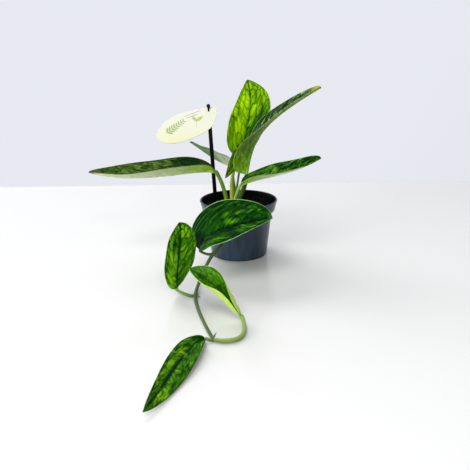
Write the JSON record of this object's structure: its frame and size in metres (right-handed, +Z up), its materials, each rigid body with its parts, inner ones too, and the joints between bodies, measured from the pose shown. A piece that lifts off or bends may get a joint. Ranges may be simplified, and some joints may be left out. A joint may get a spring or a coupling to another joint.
{
  "type": "potted climbing plant",
  "caption": "Potted climbing monstera: quilted leaves on stalks in a thin nursery pot of soil, a vine trailing over the rim with leaves of its own, and a label on a stake.",
  "frame": {"origin": "centre of the pot's flat base, on the surface that the pot stands on", "axes": "+Z up; -Y towards the front, where the vine trails; +X to the viewer's right"},
  "size_m": [0.3391, 0.5098, 0.2617],
  "materials": {
    "pot_plastic": "blue-grey, smooth and slightly glossy",
    "potting_soil": "near-black damp potting mix with white perlite specks",
    "stake_plastic": "black, satin",
    "label_plastic": "cream, satin, with a plain leaf-sprig ornament",
    "vine_stem": "grey-green with pale streaks, matt",
    "leaf_stalk": "yellow-green to olive, satin",
    "green_leaf": "leathery and quilted, satin upper side, paler underside",
    "young_leaf": "soft and glossy, light green"
  },
  "bodies": {
    "root": {"pot": "pot_plastic", "soil": "potting_soil", "stake": "stake_plastic", "label": "label_plastic", "vine": "vine_stem", "petiole_left": "leaf_stalk", "blade_left": "green_leaf", "petiole_upright": "leaf_stalk", "blade_upright": "green_leaf", "petiole_arching": "leaf_stalk", "blade_arching": "green_leaf", "petiole_drooping": "leaf_stalk", "blade_drooping": "green_leaf", "petiole_back": "leaf_stalk", "blade_back": "green_leaf", "petiole_right": "leaf_stalk", "blade_right": "green_leaf", "petiole_front": "leaf_stalk", "blade_front": "green_leaf", "petiole_standing": "leaf_stalk", "blade_standing": "green_leaf", "petiole_young": "leaf_stalk", "blade_young": "young_leaf", "petiole_lowest": "leaf_stalk", "blade_lowest": "green_leaf"}
  },
  "joints": []
}
